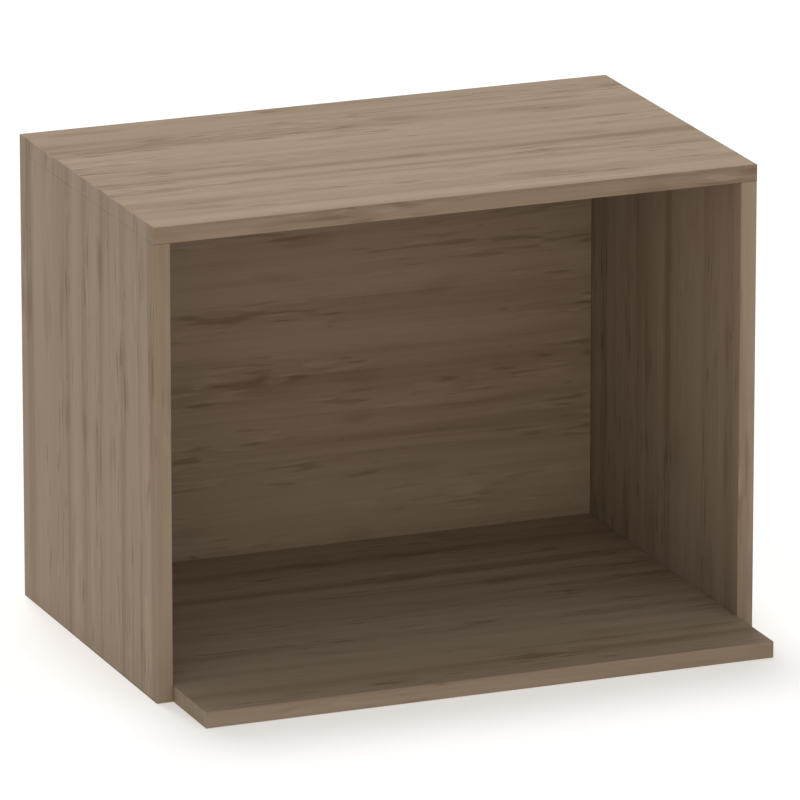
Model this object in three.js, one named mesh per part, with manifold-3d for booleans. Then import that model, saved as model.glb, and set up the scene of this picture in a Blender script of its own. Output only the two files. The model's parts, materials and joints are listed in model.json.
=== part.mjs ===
// An open-fronted kitchen cabinet that carries one countertop appliance.
//
// The top panel lies on the two sides. The base shelf lies between them and stands out in front,
// so that a deeper appliance is carried under its front feet. Cam connectors and dowels join the
// boards, a rail under the top takes the wall screws, and a thin back panel is nailed into a rebate.
//
// Millimetres, +Z up, front towards -Y, left and right as seen from the front. The origin is on the
// floor, in the middle of the outline seen from above.

import * as THREE from "three";
import { mergeVertices } from "three/addons/utils/BufferGeometryUtils.js";
import Module from "manifold-3d";

const wasm = await Module();
wasm.setup();

// Cabinet.
const WIDTH = 600; // over the top panel, the standard kitchen module
const HEIGHT = 455;
const CARCASS_DEPTH = 360; // top and sides, front edge to rear edge
const SHELF_OVERHANG = 85; // base shelf in front of the sides
const BOARD = 16; // faced chipboard
const EDGE_BAND = 1; // band glued to a visible board edge
const BAND_RADIUS = 0.5; // of a band's outer arrises
const GLUE = 0.1; // glue line, and the gap between butted boards
const FIT = 0.3; // play round a cam, bolt, dowel, nail or cap

// Back panel, in a rebate of the sides and the top.
const BACK_BOARD = 3;
const BACK_LAP = 8; // over a side's or the top's inner face
const BACK_RECESS = 1; // room for the nail heads, rear face to rear plane
const BACK_PLAY = 0.5; // between the back panel's edge and the rebate's wall
const BACK_LIFT = 2; // lower edge to the floor
const OUTLET_DIAMETER = 60; // round hole for the appliance's plug and cable
const OUTLET_RISE = 60; // shelf surface to the outlet's centre
const OUTLET_FROM_SIDE = 70; // left side's inner face to the outlet's centre

// Rail that the wall screws go through, under the top and against the back panel.
const RAIL_HEIGHT = 70;
const WALL_HOLE_DIAMETER = 8;
const WALL_HOLE_SPACING = 400;

// Cam connector: a cam in one board grips the head of a bolt that is screwed into the other.
const CAM_DIAMETER = 15;
const CAM_FLOOR = 3; // board left under the cam
const CAM_RECESS = 0.5; // cam's face under the board's face
const CAM_SETBACK = 24; // cam's axis to the joint
const CAM_FROM_FRONT = 117; // front edge of the side to the front cam's axis
const CAM_FROM_REAR = 51;
const CAM_FROM_RAIL_TOP = 19;
const CAM_POCKET_DIAMETER = 10.2; // off-centre hollow that holds the bolt's head
const CROSS_LENGTH = 7.6; // driver recess
const CROSS_WIDTH = 2;
const CROSS_DEPTH = 3;
const ARROW_DEPTH = 0.5; // pointer beside the driver recess
const ARROW_LENGTH = 2;
const BOLT_THREAD_LENGTH = 11;
const BOLT_THREAD_DIAMETER = 5;
const BOLT_SHANK_DIAMETER = 6.8;
const BOLT_NECK_DIAMETER = 4.2;
const BOLT_HEAD_DIAMETER = 6.4;
const BOLT_HEAD_LENGTH = 3;
const BOLT_CHAMFER = 0.7;
const CAP_DIAMETER = 17.4; // plastic cap over a cam that shows
const CAP_THICKNESS = 1;
const CAP_CHAMFER = 0.4;
const CAP_STEM = 2.4; // cross-shaped stem in the driver recess

// Dowel.
const DOWEL_DIAMETER = 8;
const DOWEL_LENGTH = 30;
const DOWEL_IN_FACE = 10; // part of its length in the board that is drilled through its face
const DOWEL_CHAMFER = 1;
const DOWEL_FLUTES = 10;
const DOWEL_FLUTE_DEPTH = 0.3;
const DOWEL_FROM_FRONT = 53;
const DOWEL_FROM_REAR = 83;
const DOWEL_FROM_RAIL_FOOT = 19;

// Nail of the back panel.
const NAIL_LENGTH = 20;
const NAIL_DIAMETER = 1.8;
const NAIL_TIP = 3;
const NAIL_HEAD_DIAMETER = 4.8;
const NAIL_HEAD = 0.7;
const NAIL_INSET = 60; // last nail of a row to the back panel's corner
const NAILS_UNDER_TOP = 2;
const NAILS_IN_BASE = 3;
const NAILS_IN_SIDE = 2;

// Flat sides that stand for a round surface.
const ARRIS_STEPS = 2; // in the quarter turn of a band's arris
const WIDE_ROUND = 48;
const CAM_ROUND = 24;
const WALL_HOLE_ROUND = 20;
const SMALL_ROUND = 12;
const NAIL_ROUND = 10;
const OVERSHOOT = 1; // how far a drill starts outside the face that it enters

// Planes of the cabinet.
const X_OUT = WIDTH / 2;
const X_IN = X_OUT - BOARD;
const X_SIDE = X_OUT - BOARD / 2; // middle of a side's thickness
const Y_REAR = (CARCASS_DEPTH + SHELF_OVERHANG) / 2;
const Y_FRONT = Y_REAR - CARCASS_DEPTH;
const Y_SHELF = Y_FRONT - SHELF_OVERHANG;
const Y_BACK = Y_REAR - BACK_RECESS; // rear face of the back panel
const Y_REBATE = Y_BACK - BACK_BOARD - GLUE; // floor of the rebate, and rear edge of the base
const Y_RAIL = Y_REBATE - BOARD / 2; // middle of the rail's thickness
const Z_UNDER = HEIGHT - BOARD; // underside of the top
const Z_RAIL_TOP = Z_UNDER - GLUE;
const Z_RAIL_FOOT = Z_RAIL_TOP - RAIL_HEIGHT;
const BACK_HALF_WIDTH = X_IN + BACK_LAP - BACK_PLAY;
const BACK_TOP = Z_UNDER + BACK_LAP - BACK_PLAY;

const HANDS = { left: -1, right: 1 };
const UP = new THREE.Vector3(0, 0, 1);
const DOWN = new THREE.Vector3(0, 0, -1);
const REARWARD = new THREE.Vector3(0, 1, 0);
const FORWARD = new THREE.Vector3(0, -1, 0);
const LEFTWARD = new THREE.Vector3(-1, 0, 0);
const RIGHTWARD = new THREE.Vector3(1, 0, 0);

const FINISHES = {
  board: { color: 0x8f7d6a, roughness: 0.6, metalness: 0 },
  band: { color: 0x85735f, roughness: 0.5, metalness: 0 },
  hardboard: { color: 0x6b5138, roughness: 0.8, metalness: 0 },
  beech: { color: 0xc8a173, roughness: 0.8, metalness: 0 },
  zinc: { color: 0xa9adb0, roughness: 0.4, metalness: 1 },
  steel: { color: 0xc2c0b8, roughness: 0.3, metalness: 1 },
  plastic: { color: 0x7d6b58, roughness: 0.5, metalness: 0 },
};

/** A named piece of the cabinet, with a material of its own. */
function piece(name, geometry, finish) {
  const mesh = new THREE.Mesh(geometry, new THREE.MeshStandardMaterial(FINISHES[finish]));
  mesh.name = name;
  return mesh;
}

/** A block between two opposite corners. */
function block([x0, y0, z0], [x1, y1, z1]) {
  const box = new THREE.BoxGeometry(x1 - x0, y1 - y0, z1 - z0);
  return box.translate((x0 + x1) / 2, (y0 + y1) / 2, (z0 + z1) / 2);
}

/**
 * An edge band between two opposite corners. Its two long outer arrises are rounded, except for one
 * that meets another board in the given direction.
 */
function band(low, high, outward, meeting = new THREE.Vector3()) {
  const box = new THREE.Box3(new THREE.Vector3(...low), new THREE.Vector3(...high));
  const size = box.getSize(new THREE.Vector3());
  const longer = (one, other) => (size.dot(other) > size.dot(one) ? other : one);
  const run = [RIGHTWARD, REARWARD, UP].reduce(longer);
  const across = new THREE.Vector3().crossVectors(run, outward);
  const thickness = Math.abs(size.dot(outward));
  const half = Math.abs(size.dot(across)) / 2;

  const section = new THREE.Shape().moveTo(0, half).lineTo(0, -half);
  for (const end of [-1, 1]) {
    if (end * across.dot(meeting) > 0) {
      section.lineTo(thickness, end * half);
    } else {
      const start = end < 0 ? -Math.PI / 2 : 0;
      const centre = [thickness - BAND_RADIUS, end * (half - BAND_RADIUS)];
      section.absarc(...centre, BAND_RADIUS, start, start + Math.PI / 2);
    }
  }
  const strip = new THREE.ExtrudeGeometry(section, {
    depth: size.dot(run),
    bevelEnabled: false,
    curveSegments: ARRIS_STEPS / 2,
  });
  const start = box.getCenter(new THREE.Vector3());
  start.addScaledVector(outward, -thickness / 2).addScaledVector(run, -size.dot(run) / 2);
  return strip.applyMatrix4(placeAt(start, outward, run));
}

/** A closed geometry as a solid that can be joined and cut. */
function solidOf(geometry) {
  const bare = geometry.clone();
  bare.deleteAttribute("normal");
  bare.deleteAttribute("uv");
  const { attributes, index } = mergeVertices(bare, 1e-4);
  return new wasm.Manifold(
    new wasm.Mesh({
      numProp: 3,
      vertProperties: attributes.position.array,
      triVerts: new Uint32Array(index.array),
    }),
  );
}

/** A solid as a geometry with flat faces. */
function geometryOf(solid) {
  const { vertProperties, triVerts } = solid.getMesh();
  const indexed = new THREE.BufferGeometry();
  indexed.setAttribute("position", new THREE.BufferAttribute(vertProperties, 3));
  indexed.setIndex(new THREE.BufferAttribute(triVerts, 1));
  const faceted = indexed.toNonIndexed();
  faceted.computeVertexNormals();
  return faceted;
}

/** What is left of a geometry when each tool has been cut from it. */
function cut(geometry, tools) {
  return geometryOf(tools.reduce((left, tool) => left.subtract(solidOf(tool)), solidOf(geometry)));
}

/** Several overlapping geometries as one. */
function join(geometries) {
  return geometryOf(geometries.map(solidOf).reduce((sum, next) => sum.add(next)));
}

/** A round bar along X between two planes. */
function bar(radius, x0, x1, sides) {
  const upright = new THREE.CylinderGeometry(radius, radius, x1 - x0, sides);
  return upright.rotateZ(-Math.PI / 2).translate((x0 + x1) / 2, 0, 0);
}

/** A turned piece along X, from [x, radius] corners that start and end on the axis. */
function turned(corners, sides) {
  const outline = corners.map(([x, radius]) => new THREE.Vector2(radius, x));
  return new THREE.LatheGeometry(outline, sides).rotateZ(-Math.PI / 2);
}

/** A frame at a point, with its X towards one direction and its Z towards another. */
function placeAt(point, alongX, alongZ) {
  const alongY = new THREE.Vector3().crossVectors(alongZ, alongX);
  return new THREE.Matrix4().makeBasis(alongX, alongY, alongZ).setPosition(point);
}

// ---------------------------------------------------------------------------------------------
// Where the joinery lies
// ---------------------------------------------------------------------------------------------

/** The cam connectors: home holds the cam, mate the bolt's thread, X points at the mate. */
function listConnectors() {
  const rows = { front: Y_FRONT + CAM_FROM_FRONT, rear: Y_REAR - CAM_FROM_REAR };
  const found = [];
  for (const [hand, sign] of Object.entries(HANDS)) {
    const side = `${hand}_side`;
    const [outward, inward] = sign > 0 ? [RIGHTWARD, LEFTWARD] : [LEFTWARD, RIGHTWARD];
    const setBackX = sign * (X_IN - CAM_SETBACK);
    for (const [row, y] of Object.entries(rows)) {
      const inSide = new THREE.Vector3(sign * X_SIDE, y, Z_UNDER - CAM_SETBACK);
      const inBase = new THREE.Vector3(setBackX, y, BOARD / 2);
      found.push({
        name: `${hand}_top_${row}`,
        home: side,
        mate: "top",
        capped: true,
        place: placeAt(inSide, UP, inward),
      });
      found.push({
        name: `${hand}_base_${row}`,
        home: "base",
        mate: side,
        capped: false,
        place: placeAt(inBase, outward, DOWN),
      });
    }
    const inRail = new THREE.Vector3(setBackX, Y_RAIL, Z_RAIL_TOP - CAM_FROM_RAIL_TOP);
    found.push({
      name: `${hand}_rail`,
      home: "rail",
      mate: side,
      capped: false,
      place: placeAt(inRail, outward, REARWARD),
    });
  }
  return found;
}

/** The dowels: home is drilled in its end, mate in its face, X points at the mate. */
function listDowels() {
  const rows = { front: Y_FRONT + DOWEL_FROM_FRONT, rear: Y_REAR - DOWEL_FROM_REAR };
  const found = [];
  for (const [hand, sign] of Object.entries(HANDS)) {
    const side = `${hand}_side`;
    const outward = sign > 0 ? RIGHTWARD : LEFTWARD;
    for (const [row, y] of Object.entries(rows)) {
      const underTop = new THREE.Vector3(sign * X_SIDE, y, Z_UNDER);
      const atBase = new THREE.Vector3(sign * X_IN, y, BOARD / 2);
      found.push({
        name: `${hand}_top_${row}`,
        home: side,
        mate: "top",
        place: placeAt(underTop, UP, outward),
      });
      found.push({
        name: `${hand}_base_${row}`,
        home: "base",
        mate: side,
        place: placeAt(atBase, outward, UP),
      });
    }
    const atRail = new THREE.Vector3(sign * X_IN, Y_RAIL, Z_RAIL_FOOT + DOWEL_FROM_RAIL_FOOT);
    found.push({ name: `${hand}_rail`, home: "rail", mate: side, place: placeAt(atRail, outward, UP) });
  }
  return found;
}

/** The nails of the back panel, each pointing forward along X of its frame. */
function listNails() {
  const sideways = BACK_HALF_WIDTH - NAIL_INSET;
  const rows = [
    ["top", NAILS_UNDER_TOP, [-sideways, Z_UNDER + BACK_LAP / 2], [sideways, Z_UNDER + BACK_LAP / 2]],
    ["base", NAILS_IN_BASE, [-sideways, BOARD / 2], [sideways, BOARD / 2]],
  ];
  for (const [hand, sign] of Object.entries(HANDS)) {
    const x = sign * (X_IN + BACK_LAP / 2);
    const low = BACK_LIFT + 2 * NAIL_INSET;
    rows.push([`${hand}_side`, NAILS_IN_SIDE, [x, low], [x, BACK_TOP - 2 * NAIL_INSET]]);
  }
  const found = [];
  for (const [board, count, start, end] of rows)
    for (let i = 0; i < count; i++) {
      const share = i / (count - 1);
      const x = THREE.MathUtils.lerp(start[0], end[0], share);
      const z = THREE.MathUtils.lerp(start[1], end[1], share);
      const place = placeAt(new THREE.Vector3(x, Y_BACK, z), FORWARD, UP);
      found.push({ name: `back_nail_${board}_${i + 1}`, board, x, z, place });
    }
  return found;
}

const connectors = listConnectors();
const dowels = listDowels();
const nails = listNails();

/** The holes that the joinery needs in one board. */
function joineryHoles(board) {
  const boltRadius = BOLT_SHANK_DIAMETER / 2 + FIT;
  const threadRadius = BOLT_THREAD_DIAMETER / 2 + FIT;
  const threadEnd = CAM_SETBACK + BOLT_THREAD_LENGTH + FIT;
  const dowelRadius = DOWEL_DIAMETER / 2 + FIT;
  const inEnd = DOWEL_LENGTH - DOWEL_IN_FACE + FIT;
  const nailRadius = NAIL_DIAMETER / 2 + FIT;
  const camBore = bar(
    CAM_DIAMETER / 2 + FIT,
    CAM_FLOOR - FIT - BOARD / 2,
    BOARD / 2 + OVERSHOOT,
    CAM_ROUND,
  ).rotateY(-Math.PI / 2);
  const boltBore = bar(boltRadius, 0, CAM_SETBACK + OVERSHOOT, SMALL_ROUND);
  const pilot = bar(threadRadius, CAM_SETBACK - OVERSHOOT, threadEnd, SMALL_ROUND);
  const endHole = bar(dowelRadius, -inEnd, OVERSHOOT, SMALL_ROUND);
  const faceHole = bar(dowelRadius, -OVERSHOOT, DOWEL_IN_FACE + FIT, SMALL_ROUND);
  const nailHole = bar(nailRadius, -OVERSHOOT, NAIL_LENGTH + FIT, NAIL_ROUND);

  const holes = [];
  const drill = (tool, place) => holes.push(tool.clone().applyMatrix4(place));
  for (const { home, mate, place } of connectors) {
    if (home === board) {
      drill(camBore, place);
      drill(boltBore, place);
    }
    if (mate === board) drill(pilot, place);
  }
  for (const { home, mate, place } of dowels) {
    if (home === board) drill(endHole, place);
    if (mate === board) drill(faceHole, place);
  }
  for (const nail of nails) if (nail.board === board) drill(nailHole, nail.place);
  return holes;
}

// ---------------------------------------------------------------------------------------------
// Boards and their edge bands
// ---------------------------------------------------------------------------------------------

/** The top panel, with a rebate for the back panel that stops short of its ends. */
function makeTop() {
  const end = X_OUT - EDGE_BAND;
  const front = Y_FRONT + EDGE_BAND;
  const bandStart = X_OUT - EDGE_BAND + GLUE;
  const rebateEnd = X_IN + BACK_LAP;
  const rebate = block(
    [-rebateEnd, Y_REBATE, Z_UNDER - OVERSHOOT],
    [rebateEnd, Y_REAR + OVERSHOOT, Z_UNDER + BACK_LAP],
  );
  const board = block([-end, front, Z_UNDER], [end, Y_REAR, HEIGHT]);
  const frontBand = band([-X_OUT, Y_FRONT, Z_UNDER], [X_OUT, front - GLUE, HEIGHT], FORWARD);
  const leftBand = band([-X_OUT, front, Z_UNDER], [-bandStart, Y_REAR, HEIGHT], LEFTWARD, DOWN);
  const rightBand = band([bandStart, front, Z_UNDER], [X_OUT, Y_REAR, HEIGHT], RIGHTWARD, DOWN);
  return [
    piece("top_panel", cut(board, [rebate, ...joineryHoles("top")]), "board"),
    piece("top_front_band", frontBand, "band"),
    piece("top_left_band", leftBand, "band"),
    piece("top_right_band", rightBand, "band"),
  ];
}

/** A side's outline seen from above, behind its front band, with the rebate at its rear. */
function sideOutline(sign) {
  const corners = [
    [X_IN, Y_FRONT + EDGE_BAND],
    [X_OUT, Y_FRONT + EDGE_BAND],
    [X_OUT, Y_REAR],
    [X_IN + BACK_LAP, Y_REAR],
    [X_IN + BACK_LAP, Y_REBATE],
    [X_IN, Y_REBATE],
  ];
  return new THREE.Shape(corners.map(([x, y]) => new THREE.Vector2(sign * x, y)));
}

/** One side panel, banded at its front and at its foot. */
function makeSide(hand, sign) {
  const outline = sideOutline(sign);
  const height = Z_UNDER - GLUE - EDGE_BAND;
  const board = new THREE.ExtrudeGeometry(outline, { depth: height, bevelEnabled: false });
  board.translate(0, 0, EDGE_BAND);
  const foot = new THREE.ExtrudeGeometry(outline, { depth: EDGE_BAND - GLUE, bevelEnabled: false });
  const [near, far] = [sign * X_IN, sign * X_OUT].sort((a, b) => a - b);
  const behindFront = Y_FRONT + EDGE_BAND - GLUE;
  const front = band([near, Y_FRONT, 0], [far, behindFront, Z_UNDER - GLUE], FORWARD);
  return [
    piece(`${hand}_side_panel`, cut(board, joineryHoles(`${hand}_side`)), "board"),
    piece(`${hand}_side_front_band`, front, "band"),
    piece(`${hand}_side_foot_band`, foot, "band"),
  ];
}

/** The base shelf between the sides, banded at its front and at both ends. */
function makeBase() {
  const bandEnd = X_IN - GLUE;
  const bandStart = bandEnd - EDGE_BAND + GLUE;
  const end = bandEnd - EDGE_BAND;
  const front = Y_SHELF + EDGE_BAND;
  const holes = joineryHoles("base");
  const board = block([-end, front, 0], [end, Y_REBATE, BOARD]);
  const frontBand = band([-bandEnd, Y_SHELF, 0], [bandEnd, front - GLUE, BOARD], FORWARD);
  const leftBand = band([-bandEnd, front, 0], [-bandStart, Y_REBATE, BOARD], LEFTWARD);
  const rightBand = band([bandStart, front, 0], [bandEnd, Y_REBATE, BOARD], RIGHTWARD);
  return [
    piece("base_panel", cut(board, holes), "board"),
    piece("base_front_band", frontBand, "band"),
    piece("base_left_band", cut(leftBand, holes), "band"),
    piece("base_right_band", cut(rightBand, holes), "band"),
  ];
}

/** The rail under the top, banded along its foot, with its two holes for wall screws. */
function makeRail() {
  const end = X_IN - GLUE;
  const front = Y_REBATE - BOARD;
  const foot = Z_RAIL_FOOT + EDGE_BAND;
  const board = block([-end, front, foot], [end, Y_REBATE, Z_RAIL_TOP]);
  const footBand = band([-end, front, Z_RAIL_FOOT], [end, Y_REBATE, foot - GLUE], DOWN);
  const reach = BOARD / 2 + OVERSHOOT;
  const hole = bar(WALL_HOLE_DIAMETER / 2, -reach, reach, WALL_HOLE_ROUND).rotateZ(Math.PI / 2);
  const wallHoles = Object.values(HANDS).map((sign) => {
    const x = (sign * WALL_HOLE_SPACING) / 2;
    return hole.clone().translate(x, Y_RAIL, (Z_RAIL_TOP + Z_RAIL_FOOT) / 2);
  });
  return [
    piece("hanging_rail", cut(board, [...wallHoles, ...joineryHoles("rail")]), "board"),
    piece("hanging_rail_band", footBand, "band"),
  ];
}

/** The thin back panel, cut out for the cable, the wall screws and the nails. */
function makeBack() {
  const outline = new THREE.Shape();
  outline.moveTo(-BACK_HALF_WIDTH, BACK_LIFT);
  outline.lineTo(BACK_HALF_WIDTH, BACK_LIFT);
  outline.lineTo(BACK_HALF_WIDTH, BACK_TOP);
  outline.lineTo(-BACK_HALF_WIDTH, BACK_TOP);
  outline.closePath();
  const sheet = new THREE.ExtrudeGeometry(outline, { depth: BACK_BOARD, bevelEnabled: false });
  sheet.rotateX(Math.PI / 2).translate(0, Y_BACK, 0);

  const drillThrough = (diameter, x, z, sides) => {
    const drill = bar(diameter / 2, -OVERSHOOT, BACK_BOARD + OVERSHOOT, sides);
    return drill.rotateZ(-Math.PI / 2).translate(x, Y_BACK, z);
  };
  const railMiddle = (Z_RAIL_TOP + Z_RAIL_FOOT) / 2;
  const outletX = OUTLET_FROM_SIDE - X_IN;
  const holes = [drillThrough(OUTLET_DIAMETER, outletX, BOARD + OUTLET_RISE, WIDE_ROUND)];
  for (const sign of Object.values(HANDS)) {
    const x = (sign * WALL_HOLE_SPACING) / 2;
    holes.push(drillThrough(WALL_HOLE_DIAMETER, x, railMiddle, WALL_HOLE_ROUND));
  }
  for (const { x, z } of nails)
    holes.push(drillThrough(NAIL_DIAMETER + 2 * FIT, x, z, NAIL_ROUND));
  return piece("back_panel", cut(sheet, holes), "hardboard");
}

// ---------------------------------------------------------------------------------------------
// Joinery
// ---------------------------------------------------------------------------------------------

/** A cross along Z, for the driver recess and for the stem of a cap. */
function cross(length, width, z0, z1) {
  const [arm, half] = [length / 2, width / 2];
  return [
    block([-arm, -half, z0], [arm, half, z1]),
    block([-half, -arm, z0], [half, arm, z1]),
  ];
}

/**
 * The cam, tightened: its axis is Z, its face up, and the bolt lies along X at the height of the
 * origin. The pocket is off-centre, so that turning the cam has brought its wall up behind the
 * bolt's head. The head went in by the mouth on the far side, and the slot between the mouth
 * and the bolt let its neck pass.
 */
function makeCam() {
  const radius = CAM_DIAMETER / 2;
  const reach = radius + OVERSHOOT;
  const face = BOARD / 2 - CAM_RECESS;
  const floor = CAM_FLOOR - BOARD / 2;
  const body = bar(radius, floor, face, CAM_ROUND).rotateY(-Math.PI / 2);

  const headWay = BOLT_HEAD_DIAMETER / 2 + FIT;
  const headEnd = BOLT_HEAD_LENGTH / 2 + FIT;
  const pocketRadius = CAM_POCKET_DIAMETER / 2;
  const pocketShift = Math.sqrt(pocketRadius ** 2 - headWay ** 2) - headEnd;
  const pocket = bar(pocketRadius, -headWay, headWay, CAM_ROUND).rotateY(-Math.PI / 2);
  pocket.translate(-pocketShift, 0, 0);
  const mouth = bar(headWay, -reach, 0, SMALL_ROUND);

  const neckWay = BOLT_NECK_DIAMETER / 2 + FIT;
  const neckHole = bar(neckWay, 0, reach, SMALL_ROUND);
  const slot = block([-reach, 0, -neckWay], [reach, reach, neckWay]);

  const recess = cross(CROSS_LENGTH, CROSS_WIDTH, face - CROSS_DEPTH, face + OVERSHOOT);
  const tip = radius - FIT;
  const pointer = new THREE.Shape([
    new THREE.Vector2(tip, 0),
    new THREE.Vector2(tip - ARROW_LENGTH, ARROW_LENGTH / 2),
    new THREE.Vector2(tip - ARROW_LENGTH, -ARROW_LENGTH / 2),
  ]);
  const arrow = new THREE.ExtrudeGeometry(pointer, { depth: ARROW_DEPTH + OVERSHOOT, bevelEnabled: false });
  arrow.translate(0, 0, face - ARROW_DEPTH);
  return cut(body, [pocket, mouth, neckHole, slot, ...recess, arrow]);
}

/** The bolt along X, with the middle of its head at the origin. */
function makeBolt() {
  const head = BOLT_HEAD_DIAMETER / 2;
  const neck = BOLT_NECK_DIAMETER / 2;
  const shank = BOLT_SHANK_DIAMETER / 2;
  const thread = BOLT_THREAD_DIAMETER / 2;
  const headHalf = BOLT_HEAD_LENGTH / 2;
  const shankStart = CAM_DIAMETER / 2 + FIT;
  const joint = CAM_SETBACK - GLUE;
  const tip = CAM_SETBACK + BOLT_THREAD_LENGTH;
  const corners = [
    [-headHalf, 0],
    [-headHalf, head - BOLT_CHAMFER],
    [BOLT_CHAMFER - headHalf, head],
    [headHalf, head],
    [headHalf, neck],
    [shankStart, neck],
    [shankStart + BOLT_CHAMFER, shank],
    [joint, shank],
    [joint, thread],
    [tip - 2 * BOLT_CHAMFER, thread],
    [tip, thread - BOLT_CHAMFER],
    [tip, 0],
  ];
  return turned(corners, SMALL_ROUND);
}

/** The cap on a cam's face: a chamfered disc with a cross-shaped stem. */
function makeCap() {
  const seat = BOARD / 2 + GLUE;
  const top = seat + CAP_THICKNESS;
  const radius = CAP_DIAMETER / 2;
  const corners = [
    [seat, 0],
    [seat, radius],
    [top - CAP_CHAMFER, radius],
    [top, radius - CAP_CHAMFER],
    [top, 0],
  ];
  const disc = turned(corners, CAM_ROUND).rotateY(-Math.PI / 2);
  const foot = BOARD / 2 - CAM_RECESS - CAP_STEM;
  const stem = cross(CROSS_LENGTH - 2 * FIT, CROSS_WIDTH - 2 * FIT, foot, seat + CAP_THICKNESS / 2);
  return join([disc, ...stem]);
}

/** The fluted dowel along X, with the joint at its origin. */
function makeDowel() {
  const crest = DOWEL_DIAMETER / 2;
  const corners = [];
  for (let i = 0; i < 2 * DOWEL_FLUTES; i++) {
    const angle = (i * Math.PI) / DOWEL_FLUTES;
    const radius = i % 2 ? crest - DOWEL_FLUTE_DEPTH : crest;
    corners.push(new THREE.Vector2(radius * Math.cos(angle), radius * Math.sin(angle)));
  }
  const peg = new THREE.ExtrudeGeometry(new THREE.Shape(corners), {
    depth: DOWEL_LENGTH - 2 * DOWEL_CHAMFER,
    bevelThickness: DOWEL_CHAMFER,
    bevelSize: DOWEL_CHAMFER,
    bevelOffset: -DOWEL_CHAMFER,
    bevelSegments: 1,
  });
  return peg.rotateY(Math.PI / 2).translate(DOWEL_CHAMFER + DOWEL_IN_FACE - DOWEL_LENGTH, 0, 0);
}

/** The nail along X, with the underside of its head just off the back panel. */
function makeNail() {
  const shank = NAIL_DIAMETER / 2;
  const head = NAIL_HEAD_DIAMETER / 2;
  const corners = [
    [-GLUE - NAIL_HEAD, 0],
    [-GLUE - NAIL_HEAD, head],
    [-GLUE, head],
    [-GLUE, shank],
    [NAIL_LENGTH - NAIL_TIP, shank],
    [NAIL_LENGTH, 0],
  ];
  return turned(corners, NAIL_ROUND);
}

/** A piece that lies in the frame of a place. */
function placed(name, geometry, finish, place) {
  const mesh = piece(name, geometry, finish);
  mesh.applyMatrix4(place);
  return mesh;
}

/** Every cam with its bolt, and its cap where the cam's face would show. */
function makeConnectors() {
  const cam = makeCam();
  const bolt = makeBolt();
  const cap = makeCap();
  const made = [];
  for (const { name, capped, place } of connectors) {
    made.push(placed(`${name}_cam`, cam, "zinc", place));
    made.push(placed(`${name}_bolt`, bolt, "steel", place));
    if (capped) made.push(placed(`${name}_cap`, cap, "plastic", place));
  }
  return made;
}

/** Copies of one piece, one at each place of a list. */
function makeRow(places, suffix, geometry, finish) {
  return places.map(({ name, place }) => placed(`${name}${suffix}`, geometry, finish, place));
}

const cabinet = new THREE.Group();
cabinet.add(...makeTop());
for (const [hand, sign] of Object.entries(HANDS)) cabinet.add(...makeSide(hand, sign));
cabinet.add(...makeBase());
cabinet.add(...makeRail());
cabinet.add(makeBack());
cabinet.add(...makeConnectors());
cabinet.add(...makeRow(dowels, "_dowel", makeDowel(), "beech"));
cabinet.add(...makeRow(nails, "", makeNail(), "steel"));

export default cabinet;
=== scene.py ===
"""The looks of an open-fronted kitchen cabinet, with a base shelf that stands out in front.

The boards, their edge bands and the back panel stay as they were constructed, and are dressed where
they lie. The fittings are built here with their fine forms, in the places that the construction
gives them. Metres, +Z up, front towards -Y, left and right as seen from the front.
"""

import json
import logging
import math
from collections.abc import Callable, Mapping, Sequence
from dataclasses import dataclass
from enum import Enum
from typing import Any

import bmesh
import bpy
from bpy.types import Material, Mesh, NodeSocket, Object
from mathutils import Matrix, Vector

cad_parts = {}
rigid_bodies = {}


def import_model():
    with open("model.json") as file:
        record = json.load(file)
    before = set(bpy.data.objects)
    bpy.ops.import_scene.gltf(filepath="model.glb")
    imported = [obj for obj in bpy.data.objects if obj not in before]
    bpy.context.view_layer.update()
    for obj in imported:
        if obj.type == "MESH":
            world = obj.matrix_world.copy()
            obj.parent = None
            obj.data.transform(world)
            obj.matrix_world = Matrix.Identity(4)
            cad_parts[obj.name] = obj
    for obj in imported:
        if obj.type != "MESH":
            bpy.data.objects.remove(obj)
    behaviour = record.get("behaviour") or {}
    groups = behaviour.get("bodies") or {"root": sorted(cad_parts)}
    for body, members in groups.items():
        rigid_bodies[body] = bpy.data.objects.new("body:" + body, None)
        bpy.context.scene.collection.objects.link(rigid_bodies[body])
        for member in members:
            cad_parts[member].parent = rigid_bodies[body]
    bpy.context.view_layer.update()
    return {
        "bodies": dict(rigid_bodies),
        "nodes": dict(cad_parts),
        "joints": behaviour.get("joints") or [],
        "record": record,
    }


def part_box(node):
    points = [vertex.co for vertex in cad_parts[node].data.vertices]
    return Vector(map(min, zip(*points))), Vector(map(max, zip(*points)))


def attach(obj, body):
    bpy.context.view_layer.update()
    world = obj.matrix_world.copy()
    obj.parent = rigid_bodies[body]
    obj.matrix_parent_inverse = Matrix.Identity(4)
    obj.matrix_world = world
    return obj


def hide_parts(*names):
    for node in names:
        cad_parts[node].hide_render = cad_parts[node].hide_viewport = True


LOG = logging.getLogger("cabinet")
BODY = "root"
MM = 0.001
SAME_POINT = 0.001 * MM  # constructed corners as near as this are one point
BOARD_EDGE = math.radians(40)  # from this angle on, an edge of a board is an arris
ARRIS_STEPS = 2
CUT_CRUMB = 0.04 * MM  # a cut's points as near as this are one point
SHARP = math.radians(32)  # from this angle on, an edge of a fitting is an arris
OVER = 1.0 * MM  # how far a cutting tool reaches past the face that it cuts
MELAMINE = {"Specular IOR Level": 0.02}
METAL = {"Metallic": 1.0}

Colour = Place = Shares = tuple[float, float, float]
Station = tuple[float, float]
Stops = Sequence[tuple[float, Colour]]
Reach = Callable[[float, float, float], float]


class Way(Enum):
    """One of the cabinet's three directions, as the index of its axis."""

    WIDE = 0
    DEEP = 1
    HIGH = 2


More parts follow.
